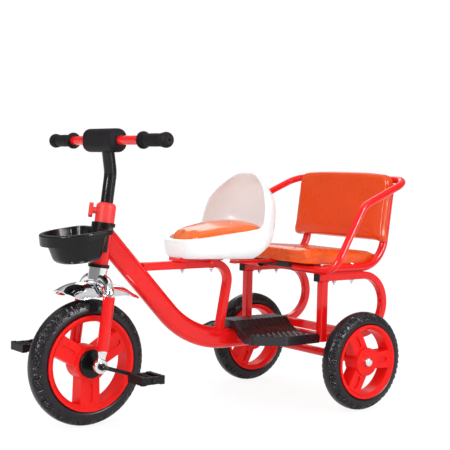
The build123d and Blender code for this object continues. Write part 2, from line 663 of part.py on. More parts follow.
def seat_plan(z, nose, rear, half, wide, inset=0.0):
    """The seat's outline at one height: a pointed front half and a half ellipse behind."""
    nose = nose - inset
    rear = rear + inset
    half = half - inset
    side = Spline((nose, 0), (nose - 34.0, 0.56 * half), (nose - 110.0, 0.84 * half), (wide, half),
                  tangents=[(0, 1), (-1, 0)])
    behind = EllipticalCenterArc((wide, 0), wide - rear, half, start_angle=90, arc_size=90)
    lines = [side, behind, mirrored(behind), mirrored(side)]
    return Pos(rear_axle_x, 0, z) * face_of(lines)


def level_at(z):
    """The seat's outline values at any height, between the listed levels."""
    for low, high in zip(shell_levels, shell_levels[1:]):
        if low[0] <= z <= high[0]:
            share = (z - low[0]) / (high[0] - low[0])
            return (z, *(a + share * (b - a) for a, b in zip(low[1:], high[1:])))


shell_body = loft([seat_plan(*level) for level in shell_levels])
scoop_plans = [seat_plan(*level_at(pan_z), inset=15.0), seat_plan(*level_at(440.0), inset=12.0)]
scoop_plans += [seat_plan(*level, inset=thick) for level, thick in zip(shell_levels[3:7], lip_insets)]
scoop_plans += [seat_plan(607.0, 440.0, 203.0, 30.0, 214.0, inset=5.0)]
hollow = loft([seat_plan(*shell_levels[0], inset=shell_wall), seat_plan(*shell_levels[1], inset=shell_wall),
               seat_plan(*level_at(pan_z - shell_wall), inset=shell_wall + 1.0)])
hollow += extrude(seat_plan(*shell_levels[0], inset=shell_wall), -5.0)
side_cut = Polygon((460.0, 430.0), (436.0, 433.0), (254.0, 466.0), (238.0, 537.0), (208.0, 601.0),
                   (200.0, 640.0), (460.0, 640.0), align=None)
side_cut = fillet(side_cut.vertices().sort_by_distance((254.0, 466.0))[0], 18.0)
side_cut = extrude(Plane.XZ * Pos(rear_axle_x, 0) * side_cut, 200.0, both=True)
shell_body = shell_body - loft(scoop_plans) - hollow - side_cut
boss_r = 9.0
boss = along(boss_r, seat_base_z, pan_z - shell_wall + 1.0)
for boss_x in (bracket_rear_x + 62.0, bracket_front_x - 24.0):
    shell_body += Pos(boss_x, 0, 0) * boss
bracket_space = Box(bracket_len + 2 * fit_gap, bracket_w + 2 * fit_gap, 2 * bracket_h)
bracket_mid_x = (bracket_rear_x + bracket_front_x) / 2
shell_body -= Pos(bracket_mid_x, 0, seat_base_z + fit_gap - bracket_h) * bracket_space
shell_body -= across(12.0 + 2 * fit_gap, -40.0, 40.0, barrel_x, bracket_low + 4.0)
save("front_seat_shell", largest(shell_body))

pad_inset = 17.0
pad_low = pan_z + fit_gap
pad_stations = [                # place from the rear axle, height of the edges, height of the crown
    (430.0, 429.0, 431.0), (400.0, 435.0, 446.0), (350.0, 443.0, 460.0), (300.0, 451.0, 469.0),
    (250.0, 457.0, 473.0), (210.0, 455.0, 466.0), (180.0, 448.0, 452.0),
]


def pad_section(station, edge_z, crown_z):
    """Cross-section of the front cushion: flat below, crowned on top."""
    plane = Plane(origin=(rear_axle_x + station, 0, 0), x_dir=(0, 1, 0), z_dir=(1, 0, 0))
    reach = 125.0
    top = ThreePointArc((-reach, edge_z), (0, crown_z), (reach, edge_z))
    low = Polyline((reach, edge_z), (reach, pad_low), (-reach, pad_low), (-reach, edge_z))
    return plane * face_of([top, low])


front_pad = loft([pad_section(*values) for values in pad_stations])
front_pad &= extrude(seat_plan(*level_at(pan_z), inset=pad_inset), 60.0)
save("front_seat_cushion", front_pad)

# ---------------------------------------------------------------- footboard
deck_rear = post_x + post_size / 2 + fit_gap
deck_front = rear_axle_x + 262.0
deck_half_w = 160.0
deck_nose_half_w = 110.0
deck_cut = 67.0                 # length of the slanted front corners
deck_z = 190.0
deck_t = 3.5
deck_rim = 21.0
tunnel_z = main_tube_bottom + main_tube_h + 19.0
deck_side = [(deck_rear, deck_half_w), (deck_front - deck_cut, deck_half_w), (deck_front, deck_nose_half_w)]
deck_plan = Polygon(*[(x, -y) for x, y in deck_side], *reversed(deck_side), align=None)
deck_plan = fillet(deck_plan.vertices().sort_by(Axis.X)[2:], 18.0)
tunnel_foot = 75.0
tunnel_half_w = 30.0
deck_half_line = [(deck_half_w + 5, deck_z), (tunnel_foot, deck_z), (48.0, deck_z + 14.0), (tunnel_half_w, tunnel_z)]
deck_line = [(-y, z) for y, z in deck_half_line] + deck_half_line[::-1]
deck_plane = Plane(origin=(deck_rear - 5.0, 0, 0), x_dir=(0, 1, 0), z_dir=(1, 0, 0))


def deck_slab(top_drop, low_drop):
    """Slab along X under the footboard's top outline, between two depths below it."""
    upper = [(y, z - top_drop) for y, z in deck_line]
    lower = [(y, z - low_drop) for y, z in reversed(deck_line)]
    section = deck_plane * Polygon(*upper, *lower, align=None)
    return extrude(section, deck_front - deck_rear + 10.0, dir=(1, 0, 0))


deck = deck_slab(0.0, deck_rim) & Pos(0, 0, 100) * extrude(deck_plan, 200.0)
deck -= deck_slab(deck_t, deck_rim + 10.0) & Pos(0, 0, 100) * extrude(offset(deck_plan, -deck_t), 200.0)
tube_space = Pos(0, main_level_z) * RectangleRounded(
    main_tube_w + 2 * fit_gap, main_tube_h + 2 * fit_gap, main_corner + fit_gap)
deck -= extrude(deck_plane * tube_space, deck_front - deck_rear + 10.0, dir=(1, 0, 0))
curb_w = 5.0
curb_h = 3.0
curb = extrude(deck_plan - offset(deck_plan, -curb_w), curb_h)
curb_y = 82.0                   # the curb starts this far from the middle
curb -= Pos(0, 0, curb_h / 2) * Box(1000.0, 2 * curb_y, 2 * curb_h)
curb -= Pos(deck_rear, 0, curb_h / 2) * Box(2 * curb_w + 1.0, 2 * deck_half_w, 2 * curb_h)
deck += Pos(0, 0, deck_z) * curb
rib_count = 11
rib_gap = 7.0
rib_depth = 1.8
rib_pitch = (deck_front - deck_rear - 12.0) / rib_count
rib_skin = deck_slab(-1.0, rib_depth)
for k in range(rib_count):
    rib_x = deck_rear + 6.0 + (k + 0.5) * rib_pitch
    for side in (1, -1):
        slot = Pos(rib_x, side * 40.0, deck_z + 18.0) * Box(rib_gap, 26.0, 34.0)
        deck -= rib_skin & slot
save("footboard", deck)
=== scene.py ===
import json
import math

import bmesh
import bpy
import numpy as np
from mathutils import Matrix, Vector, noise


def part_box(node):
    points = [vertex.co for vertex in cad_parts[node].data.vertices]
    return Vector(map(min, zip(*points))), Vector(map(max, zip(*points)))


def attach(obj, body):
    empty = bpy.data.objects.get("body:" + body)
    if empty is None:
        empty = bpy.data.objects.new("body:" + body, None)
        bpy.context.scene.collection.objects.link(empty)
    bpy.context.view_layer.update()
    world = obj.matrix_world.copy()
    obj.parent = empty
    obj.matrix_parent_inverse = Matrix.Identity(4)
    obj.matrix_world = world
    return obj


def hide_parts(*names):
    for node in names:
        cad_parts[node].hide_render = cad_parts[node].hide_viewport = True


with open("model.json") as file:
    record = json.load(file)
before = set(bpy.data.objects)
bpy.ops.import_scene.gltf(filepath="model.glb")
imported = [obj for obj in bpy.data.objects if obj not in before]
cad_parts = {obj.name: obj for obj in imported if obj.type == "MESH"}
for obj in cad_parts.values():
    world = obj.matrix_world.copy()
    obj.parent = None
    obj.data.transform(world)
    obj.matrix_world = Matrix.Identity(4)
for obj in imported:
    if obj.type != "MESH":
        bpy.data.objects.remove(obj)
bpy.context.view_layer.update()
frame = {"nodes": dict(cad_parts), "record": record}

nodes = frame["nodes"]
scene = bpy.context.scene


# ------------------------------------------------------------------ material helpers
def material(name, colour, rough, metallic=0.0, coat=0.0, specular=0.5, coat_rough=0.06):
    """A new node material; gives back the material, its node tree and its shader."""
    mat = bpy.data.materials.new(name)
    mat.use_nodes = True
    nt = mat.node_tree
    shader = nt.nodes["Principled BSDF"]
    shader.inputs["Base Color"].default_value = (*colour, 1.0)
    shader.inputs["Roughness"].default_value = rough
    shader.inputs["Metallic"].default_value = metallic
    shader.inputs["Coat Weight"].default_value = coat
    shader.inputs["Coat Roughness"].default_value = coat_rough
    shader.inputs["Specular IOR Level"].default_value = specular
    return mat, nt, shader


def places(nt):
    """Object coordinates, which are the shared frame's metres on every piece."""
    return nt.nodes.new("ShaderNodeTexCoord").outputs["Object"]


def stretched(nt, coords, factors):
    """Coordinates scaled by a factor on each axis."""
    m = nt.nodes.new("ShaderNodeMapping")
    m.inputs["Scale"].default_value = factors
    nt.links.new(coords, m.inputs["Vector"])
    return m.outputs["Vector"]


def cloud(nt, coords, scale, detail=3.0, rough=0.5):
    """Noise from 0 to 1 at a scale in cycles per metre."""
    n = nt.nodes.new("ShaderNodeTexNoise")
    n.inputs["Scale"].default_value = scale
    n.inputs["Detail"].default_value = detail
    n.inputs["Roughness"].default_value = rough
    nt.links.new(coords, n.inputs["Vector"])
    return n.outputs["Fac"]


def cells(nt, coords, scale, feature="F1"):
    """Distance in a Voronoi pattern at a scale in cells per metre."""
    v = nt.nodes.new("ShaderNodeTexVoronoi")
    v.feature = feature
    v.inputs["Scale"].default_value = scale
    nt.links.new(coords, v.inputs["Vector"])
    return v.outputs["Distance"]


def remap(nt, value, low, high, from_low=0.3, from_high=0.7):
    """A value between two ends, spread over the range from low to high; noise fills 0.3 to 0.7."""
    m = nt.nodes.new("ShaderNodeMapRange")
    m.inputs["From Min"].default_value = from_low
    m.inputs["From Max"].default_value = from_high
    m.inputs["To Min"].default_value = low
    m.inputs["To Max"].default_value = high
    nt.links.new(value, m.inputs["Value"])
    return m.outputs["Result"]


def shade(nt, shader, value, colour, low, high):
    """Base colour between two strengths of one tone, by a value from 0 to 1."""
    m = nt.nodes.new("ShaderNodeMix")
    m.data_type = "RGBA"
    m.inputs["A"].default_value = (*[low * c for c in colour], 1.0)
    m.inputs["B"].default_value = (*[min(1.0, high * c) for c in colour], 1.0)
    nt.links.new(value, m.inputs["Factor"])
    nt.links.new(m.outputs["Result"], shader.inputs["Base Color"])


def bump(nt, shader, *layers):
    """Bumps in a chain, each a height from 0 to 1 and its depth in metres."""
    last = None
    for height, depth in layers:
        b = nt.nodes.new("ShaderNodeBump")
        b.inputs["Distance"].default_value = depth
        nt.links.new(height, b.inputs["Height"])
        if last is not None:
            nt.links.new(last, b.inputs["Normal"])
        last = b.outputs["Normal"]
    nt.links.new(last, shader.inputs["Normal"])


def painted(name, colour, rough, coat):
    """Gloss enamel on tube: faint orange peel, slight tone drift and handling haze."""
    mat, nt, sh = material(name, colour, rough, coat=coat, specular=0.15, coat_rough=0.04)
    at = places(nt)
    shade(nt, sh, remap(nt, cloud(nt, at, 7.0, 2.0), 0.0, 1.0), colour, 0.95, 1.03)
    haze = remap(nt, cloud(nt, at, 38.0, 5.0, 0.6), 0.85 * rough, 1.2 * rough)
    nt.links.new(haze, sh.inputs["Roughness"])
    bump(nt, sh, (cloud(nt, at, 330.0, 1.0), 0.00003))
    return mat


def moulded(name, colour, rough, grain, depth, coat=0.0, specular=0.4, drift=0.04):
    """Injection-moulded plastic: fine spark-eroded grain, flow tone and soft scuffs."""
    mat, nt, sh = material(name, colour, rough, coat=coat, specular=specular)
    at = places(nt)
    shade(nt, sh, remap(nt, cloud(nt, at, 11.0), 0.0, 1.0), colour, 1.0 - drift, 1.0 + drift)
    scuffs = remap(nt, cloud(nt, at, 60.0, 5.0), 0.88 * rough, 1.15 * rough)
    nt.links.new(scuffs, sh.inputs["Roughness"])
    bump(nt, sh, (cloud(nt, at, grain, 3.0, 0.6), depth))
    return mat


def plated(name, colour, rough, lines):
    """Bright plating with faint drawing lines and clouded patches."""
    mat, nt, sh = material(name, colour, rough, metallic=1.0)
    at = places(nt)
    haze = cloud(nt, at, 20.0, 5.0, 0.65)
    nt.links.new(remap(nt, haze, 0.6 * rough, 1.6 * rough), sh.inputs["Roughness"])
    shade(nt, sh, remap(nt, haze, 0.0, 1.0), colour, 0.94, 1.0)
    bump(nt, sh, (cloud(nt, stretched(nt, at, (1.0, 1.0, 0.12)), 260.0, 2.0), lines))
    return mat


def foam(name, colour, rough, cell, depth, sheen=0.22):
    """Closed-cell foam rubber: pores and a dusty bloom."""
    mat, nt, sh = material(name, colour, rough, specular=sheen)
    at = places(nt)
    shade(nt, sh, remap(nt, cloud(nt, at, 26.0, 5.0, 0.6), 0.0, 1.0), colour, 0.9, 1.35)
    bump(nt, sh, (cells(nt, at, cell), depth), (cloud(nt, at, 0.3 * cell), 1.5 * depth))
    return mat


def vinyl(name, colour, rough, coat):
    """Coated upholstery cloth: pebbled grain, soft creases and a glossy face."""
    mat, nt, sh = material(name, colour, rough, coat=coat, specular=0.25, coat_rough=0.1)
    at = places(nt)
    shade(nt, sh, remap(nt, cloud(nt, at, 9.0), 0.0, 1.0), colour, 0.93, 1.05)
    worn = remap(nt, cloud(nt, at, 42.0, 5.0), 0.85 * rough, 1.2 * rough)
    nt.links.new(worn, sh.inputs["Roughness"])
    pebbles = cells(nt, at, 1100.0, "DISTANCE_TO_EDGE")
    bump(nt, sh, (pebbles, 0.00006), (cloud(nt, at, 26.0, 2.0), 0.0003))
    return mat


# name, colour, roughness, then what each kind of material adds
RED = painted("red_enamel", (0.84, 0.006, 0.006), 0.2, 0.5)
RED_PLASTIC = moulded("red_moulding", (0.86, 0.010, 0.008), 0.34, 900.0, 0.00001, specular=0.15)
CLAMP_RED = moulded("clamp_moulding", (0.92, 0.045, 0.040), 0.38, 900.0, 0.00001, specular=0.3)
CHROME = plated("bright_chrome", (0.90, 0.90, 0.92), 0.05, 0.000004)
ZINC = plated("zinc_bright", (0.74, 0.75, 0.76), 0.2, 0.00001)
BLACK_GLOSS = moulded("black_gloss", (0.004, 0.004, 0.005), 0.3, 700.0, 0.00001,
                      coat=0.28, specular=0.12)
BLACK = moulded("black_moulding", (0.006, 0.005, 0.007), 0.42, 1100.0, 0.00006, specular=0.2)
BLACK_STEEL = painted("black_enamel", (0.006, 0.005, 0.007), 0.26, 0.35)
DECK = moulded("deck_moulding", (0.013, 0.009, 0.012), 0.28, 1200.0, 0.00003, specular=0.5)
WHITE = moulded("white_moulding", (0.905, 0.945, 0.955), 0.3, 800.0, 0.000004,
                coat=0.15, drift=0.003)
# one orange vinyl in three tones, which are painted light and shade: lighter and yellower on the
# strongly lit saddle, between on the bench, darker on the shaded backrest
SADDLE_VINYL_PAINTED_LIGHT = vinyl("orange_vinyl_saddle_painted_light", (0.90, 0.150, 0.008), 0.24, 0.4)
BENCH_VINYL_PAINTED_MID_LIGHT = vinyl("orange_vinyl_bench_painted_light_mid", (0.84, 0.100, 0.004), 0.26, 0.4)
BACK_VINYL_PAINTED_SHADE = vinyl("orange_vinyl_back_painted_shade", (0.76, 0.064, 0.002), 0.3, 0.2)
TYRE = foam("foam_tyre", (0.010, 0.008, 0.011), 0.3, 900.0, 0.00003, sheen=0.3)
GRIP = foam("foam_grip", (0.009, 0.007, 0.009), 0.6, 1300.0, 0.0001, sheen=0.14)
BOARD = moulded("black_board", (0.02, 0.02, 0.02), 0.6, 500.0, 0.0001)

# the record's slots, and the nodes whose finish differs from their slot's
FINISH = {
    "red_paint": RED, "red_plastic": RED_PLASTIC, "chrome_plate": CHROME, "zinc_plate": ZINC,
    "black_plastic": BLACK, "white_plastic": WHITE, "orange_vinyl": BACK_VINYL_PAINTED_SHADE, "foam_tyre": TYRE,
    "foam_grip": GRIP, "board": BOARD,
}
OWN_FINISH = {
    "basket": BLACK_GLOSS, "front_hub_flanges": BLACK_GLOSS, "crank_axle": BLACK_STEEL,
    "stem": BLACK_STEEL, "head_cups": BLACK_GLOSS, "footboard": DECK, "clamp_collar": CLAMP_RED,
    "clamp_knob": CLAMP_RED, "axle_nuts": ZINC,
}
slot_of = {s["node"]: s["material_slot"] for s in frame["record"]["subparts"]}
bodies = frame["record"]["behaviour"]["bodies"]
body_of = {name: body for body, names in bodies.items() for name in names}
for name, obj in nodes.items():
    obj.data.materials.clear()
    obj.data.materials.append(OWN_FINISH.get(name, FINISH[slot_of[name]]))


# ------------------------------------------------------------------ mesh helpers
def piece(name, verts, faces, mat, node, smooth=True):
    """A mesh piece in the given material that rides with a node's body."""
    mesh = bpy.data.meshes.new(name)
    mesh.from_pydata([tuple(v) for v in verts], [], faces)
    bm = bmesh.new()
    bm.from_mesh(mesh)
    bmesh.ops.recalc_face_normals(bm, faces=bm.faces)
    bm.to_mesh(mesh)
    bm.free()
    mesh.polygons.foreach_set("use_smooth", [smooth] * len(mesh.polygons))
    mesh.materials.append(mat)
    obj = bpy.data.objects.new(name, mesh)
    scene.collection.objects.link(obj)
    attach(obj, body_of[node])
    return obj


def grid_faces(rows, cols, close_rows=False, close_cols=False):
    """Quads of a grid whose vertices are stored row by row."""
    out = []
    for i in range(rows if close_rows else rows - 1):
        for j in range(cols if close_cols else cols - 1):
            i2, j2 = (i + 1) % rows, (j + 1) % cols
            out.append((i * cols + j, i * cols + j2, i2 * cols + j2, i2 * cols + j))
    return out


def points(mesh):
    """A mesh's vertices as an array."""
    return np.array([v.co for v in mesh.vertices])


def place_points(mesh, co):
    """Puts a mesh's vertices where the array says."""
    mesh.vertices.foreach_set("co", co.ravel())


def centre(name):
    """Middle of a node's box."""
    low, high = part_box(name)
    return (Vector(low) + Vector(high)) / 2


def extent(name):
    """Size of a node's box along each axis."""
    low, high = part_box(name)
    return Vector(high) - Vector(low)


# ------------------------------------------------------------------ tyres with tread
TYRE_WALL = 0.005               # straight wall between the rim's edge and the round crown
RIM_LAP = 0.001                 # how far the tyre's foot reaches inside the rim's edge
FOOT_INSET = 0.004              # the foot is this much narrower than the tyre at each side
SQUARE = 0.82                   # under 1 makes the crown flatter and the shoulders fuller
KNOB_PITCH = 0.0147             # scallops along each shoulder
KNOBS_PER_GROUP = 4             # a group of nested crescents for every so many scallops
KNOB_STEPS = 15                 # rings of the mesh for every scallop
KNOB_DEPTH = 0.0024
KNOB_SHARE = 0.45               # of the pitch
KNOB_SLANTS = (24, 64)          # degrees from the crown
CRESCENTS = ((22.0, 0.42, 0.40), (36.0, 0.46, 0.31), (49.0, 0.50, 0.22))  # slant, middle, half length
CRESCENT_FOOT = 69.0            # slant in degrees where the crescents end
GROOVE_W = 0.0019               # half width of a crescent's groove
GROOVE_SOFT = 0.0010
GROOVE_DEPTH = 0.0024
# slants of the section's points on one side: few on the crown and the wall, many on the shoulder
SLANTS = np.concatenate([[5.7, 11.4], np.linspace(17, 72, 34), [76, 81, 86, 90]])


def fade(x, low, high, soft):
    """1 between low and high, falling to 0 over a soft edge inside them."""
    return np.clip((x - low) / soft, 0, 1) * np.clip((high - x) / soft, 0, 1)


def crescents(place, slant, pitch, half):
    """Depth from 0 to 1 of the grooves at a place in the group, for every slant of the section."""
    cut = np.zeros(len(slant))
    per_degree = half * math.pi / 180
    for lowest, middle, reach in CRESCENTS:
        off = (place - middle) / reach
        if abs(off) > 1.0:
            continue
        line = CRESCENT_FOOT - (CRESCENT_FOOT - lowest) * (1 - off * off)
        slope = 2 * off * (CRESCENT_FOOT - lowest) * per_degree / (reach * pitch)
        away = np.abs(slant - line) * per_degree / math.sqrt(1 + slope * slope)
        cut = np.maximum(cut, np.clip((GROOVE_W - away) / GROOVE_SOFT, 0, 1))
    return cut


def tread_tyre(node, rim_node):
    """Foam tyre with a smooth crown and, on both shoulders, scallops and groups of curved grooves."""
    mid = centre(node)
    outer = extent(node).z / 2
    half = extent(node).y / 2
    rim_r = extent(rim_node).x / 2
    wall_r = rim_r + TYRE_WALL
    groups = round(2 * math.pi * outer / (KNOB_PITCH * KNOBS_PER_GROUP))
    pitch = 2 * math.pi * outer / groups
    steps = KNOB_STEPS * KNOBS_PER_GROUP
    section = np.radians(np.concatenate([-SLANTS[::-1], [0.0], SLANTS]))
    slant = np.degrees(np.abs(section))
    across = np.cos(section) ** SQUARE
    along = np.sign(section) * np.abs(np.sin(section)) ** SQUARE
    foot_r = rim_r - RIM_LAP
    foot_y = half - FOOT_INSET
    verts = []
    for step in range(groups * steps):
        turn = step / (groups * steps) * 2 * math.pi
        knob = (step % KNOB_STEPS) / KNOB_STEPS
        scallop = KNOB_DEPTH * fade(knob, 0.0, KNOB_SHARE, 0.2) * fade(slant, *KNOB_SLANTS, 10)
        depth = scallop + GROOVE_DEPTH * crescents(step % steps / steps, slant, pitch, half)
        radial = wall_r + (outer - wall_r) * across - depth * np.cos(section)
        side = half * along - depth * np.sin(section)
        radial = np.concatenate([radial, [foot_r, foot_r]])
        side = np.concatenate([side, [foot_y, -foot_y]])
        verts += [(mid.x + r * math.cos(turn), mid.y + y, mid.z + r * math.sin(turn))
                  for r, y in zip(radial, side)]
    faces = grid_faces(groups * steps, len(section) + 2, True, True)
    obj = piece(node + "_tread", verts, faces, TYRE, node)
    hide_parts(node)


tread_tyre("front_tyre", "front_rim")
tread_tyre("rear_tyre_left", "rear_rim_left")
tread_tyre("rear_tyre_right", "rear_rim_right")


# ------------------------------------------------------------------ cushions
CLOTH_FRAMES = 20
CLOTH_PRESSURE = 4.0
PINNED_SHARE = 0.4              # of a voxel: points this near the flat back are held
CORNER_DRAW = 0.45              # share of a lower corner's size by which it is drawn out
BOARD_CLEAR = 0.0030            # a cover's wall past its board
BOARD_REACH = 0.009             # how deep a wall may lie in the board and still be moved out
BOARD_ABOVE = (0.003, 0.010)    # the move fades out between these heights over the board
CREASE = (85.0, 14.0)           # cycles per metre along the edge and upward
FINE_CREASE = (190.0, 40.0)
FINE_SHARE = 0.35
SMOOTH_SIDES = 0.12             # creasing left where nothing gathers


def flat_side(mesh, facing):
    """Unit normal of the largest flat area that faces roughly the given way."""
    areas = {}
    for p in mesh.polygons:
        if p.normal.dot(facing) > 0.5:
            key = tuple(round(c, 2) for c in p.normal)
            areas[key] = areas.get(key, 0.0) + p.area
    return Vector(max(areas, key=areas.get)).normalized()


def apply_modifier(obj, kind, **settings):
    """Adds a modifier and applies it at once."""
    mod = obj.modifiers.new(kind.lower(), kind)
    for key, value in settings.items():
        setattr(mod, key, value)
    bpy.context.view_layer.objects.active = obj
    bpy.ops.object.modifier_apply(modifier=mod.name)


def grow(mesh, up, wrap, wider):
    """Moves the flat back of a solid down by wrap, and its sides out by wider."""
    co = points(mesh)
    up = np.array(up)
    level = co @ up
    share = 1.0 - (level - level.min()) / np.ptp(level)
    away = co - co.mean(axis=0)
    away -= np.outer(away @ up, up)
    reach = np.abs(away).max(axis=0) + 1e-9
    place_points(mesh, co + (away / reach.max() * wider - up * (wrap * share)[:, None]))


def bulge(mesh, rise, corner):
    """Arches the upper edge of a standing pad by rise, and draws its lower corners out to a point."""
    co = points(mesh)
    low, high = co.min(axis=0), co.max(axis=0)
    half_w = (high[1] - low[1]) / 2
    off = co[:, 1] - (high[1] + low[1]) / 2
    upper = np.clip((co[:, 2] - low[2]) / (high[2] - low[2]) * 2 - 1, 0, 1)
    out = np.clip((np.abs(off) - half_w + corner) / corner, 0, 1)
    down = np.clip((low[2] + corner - co[:, 2]) / corner, 0, 1)
    drawn = CORNER_DRAW * corner * out * down
    co[:, 2] += rise * upper ** 2 * (1 - (off / half_w) ** 4) - drawn
    co[:, 1] += np.sign(off) * drawn
    place_points(mesh, co)


def swell(obj, pinned, cap):
    """Inflates a mesh as cloth with its pinned points held, moving no point further than the cap."""
    group = obj.vertex_groups.new(name="held")
    group.add([int(i) for i in pinned], 1.0, "REPLACE")
    cloth = obj.modifiers.new("cloth", "CLOTH")
    cloth.settings.use_pressure = True
    cloth.settings.uniform_pressure_force = CLOTH_PRESSURE
    cloth.settings.vertex_group_mass = "held"
    cloth.settings.effector_weights.gravity = 0.0
    cloth.settings.quality = 6
    start = points(obj.data)
    for f in range(1, CLOTH_FRAMES + 1):
        scene.frame_set(f)
    ready = obj.evaluated_get(bpy.context.evaluated_depsgraph_get())
    moved = points(ready.data) - start
    far = np.linalg.norm(moved, axis=1)
    moved *= (np.minimum(far, cap) / np.maximum(far, 1e-9))[:, None]
    obj.modifiers.remove(cloth)
    scene.frame_set(1)
    place_points(obj.data, start + moved)


def crease(co, normals, up, wrinkle, gathers):
    """Moves a cushion's sides in and out, most of all round the places where its cover gathers."""
    sideways = 1.0 - np.abs(normals @ up)
    near = np.zeros(len(co))
    for place, radius in gathers:
        away = np.linalg.norm(co - np.array(place), axis=1)
        near = np.maximum(near, np.exp(-((away / radius) ** 2)))
    for i, p in enumerate(co):
        along = p[0] - p[1]
        fold = noise.noise(Vector((along * CREASE[0], p[2] * CREASE[1], 3.0)))
        fine = noise.noise(Vector((along * FINE_CREASE[0], p[2] * FINE_CREASE[1], 9.0)))
        share = (SMOOTH_SIDES + near[i]) * (sideways[i] + 0.35 * near[i])
        co[i] += normals[i] * wrinkle * (fold + FINE_SHARE * fine) * share


def clear_board(co, turned_up, board):
    """Moves a cover's side walls out past the square corners of the board that they hide."""
    low, high = (np.array(corner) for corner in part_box(board))
    off = co[:, :2] - (low + high)[:2] / 2
    short = (high - low)[:2] / 2 + BOARD_CLEAR - np.abs(off)
    rows, side = np.arange(len(co)), short.argmin(axis=1)
    depth = short.min(axis=1)
    wall = (depth > 0) & (depth < BOARD_REACH) & (np.abs(turned_up) < 0.75)
    full, end = BOARD_ABOVE
    share = np.clip((high[2] + end - co[:, 2]) / (end - full), 0, 1)
    co[rows, side] += np.sign(off[rows, side]) * np.where(wall, depth * share, 0)


def cushion(node, mat, facing, voxel, inset, crown, wrinkle, swelling, gathers=(), wrap=0.0, wider=0.0,
            arch=None, smooth=3, board=None):
    """Upholstered pad: the CAD solid drawn in, inflated as cloth, then crowned and creased.

    facing is the way its flat back looks. voxel is the size of its mesh, inset how far it is drawn in.
    crown, wrinkle and swelling are the heights of its top, its creases and its inflation.
    gathers are places, each with a radius, round which the sides are more creased.
    wrap is how far the cover reaches down over the board behind it, wider how far it stands out there,
    and board the node that it then has to hide. arch is the rise of a standing pad's upper edge and the
    size of its lower corners. smooth is the number of smoothing steps.
    """
    source = nodes[node].data
    back = flat_side(source, facing)
    up = -np.array(back)
    obj = bpy.data.objects.new(node + "_vinyl", source.copy())
    scene.collection.objects.link(obj)
    obj.data.materials.clear()
    obj.data.materials.append(mat)
    grow(obj.data, -back, wrap, wider)
    apply_modifier(obj, "REMESH", mode="VOXEL", voxel_size=voxel)
    if arch:
        bulge(obj.data, *arch)
    co = points(obj.data)
    height = co @ up
    base = height.min()
    pinned = np.where(height < base + PINNED_SHARE * voxel)[0]
    normals = np.array([v.normal for v in obj.data.vertices])
    drawn = co - inset * normals
    drawn[pinned] = co[pinned]
    place_points(obj.data, drawn)
    swell(obj, pinned, swelling)
    apply_modifier(obj, "SMOOTH", factor=0.5, iterations=smooth)
    apply_modifier(obj, "SUBSURF", levels=1)
    co = points(obj.data)
    normals = np.array([v.normal for v in obj.data.vertices])
    middle = co.mean(axis=0)
    reach = np.abs(co - middle).max(axis=0)
    round_off = np.clip(1.0 - (((co - middle) / reach) ** 4)[:, :2].sum(axis=1) * 0.5, 0, 1)
    facing_up = np.clip(normals @ up, 0, 1)
    co += up * (crown * round_off * facing_up)[:, None]
    crease(co, normals, up, wrinkle, gathers)
    if board:
        clear_board(co, normals @ up, board)
    below = np.minimum(co @ up - base, 0)
    co -= below[:, None] * up
    place_points(obj.data, co)
    obj.data.polygons.foreach_set("use_smooth", [True] * len(obj.data.polygons))
    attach(obj, body_of[node])
    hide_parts(node)


bench_x, bench_y, bench_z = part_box("rear_seat_cushion")[1]
back_low, back_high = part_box("backrest_cushion")
cushion("rear_seat_cushion", BENCH_VINYL_PAINTED_MID_LIGHT, Vector((0, 0, -1)), voxel=0.005, inset=0.002, crown=0.001,
        wrinkle=0.0022, swelling=0.004, wrap=0.018, wider=0.006, board="rear_seat_base",
        gathers=[((bench_x, 0.3 * bench_y, bench_z), 0.07), ((bench_x, bench_y, bench_z), 0.05)])
cushion("backrest_cushion", BACK_VINYL_PAINTED_SHADE, Vector((-1, 0, 0)), voxel=0.005, inset=0.001, crown=0.001,
        wrinkle=0.0010, swelling=0.002, wrap=0.004, wider=0.006, arch=(0.008, 0.03),
        gathers=[((back_low[0], back_high[1], back_high[2]), 0.05)])
cushion("front_seat_cushion", SADDLE_VINYL_PAINTED_LIGHT, Vector((0, 0, -1)), voxel=0.004, inset=0.001, crown=0.005,
        wrinkle=0.0003, swelling=0.003, smooth=14)


# ------------------------------------------------------------------ small parts
def frame_of(axis):
    """Matrix whose Z runs along an axis."""
    return Vector(axis).to_track_quat("Z", "Y").to_matrix().to_4x4()


def turned(name, profile, place, axis, mat, node, sides=24, smooth=True):
    """Solid of revolution: profile is (radius, height) pairs along the axis from its place."""
    put = Matrix.Translation(place) @ frame_of(axis)
    verts = []
    for radius, height in profile:
        for k in range(sides):
            a = 2 * math.pi * k / sides
            verts.append(put @ Vector((radius * math.cos(a), radius * math.sin(a), height)))
    faces = grid_faces(len(profile), sides, close_cols=True)
    last = (len(profile) - 1) * sides
    faces += [tuple(range(sides))[::-1], tuple(range(last, last + sides))]
    piece(name, verts, faces, mat, node, smooth)


def screw(name, place, axis, radius, node):
    """Domed screw head with a driver recess, seated on a surface."""
    shape = ((1.0, 0.0), (1.0, 0.12), (0.92, 0.32), (0.7, 0.5), (0.42, 0.6), (0.36, 0.35), (0.1, 0.3))
    turned(name, [(r * radius, h * radius) for r, h in shape], place, axis, ZINC, node)


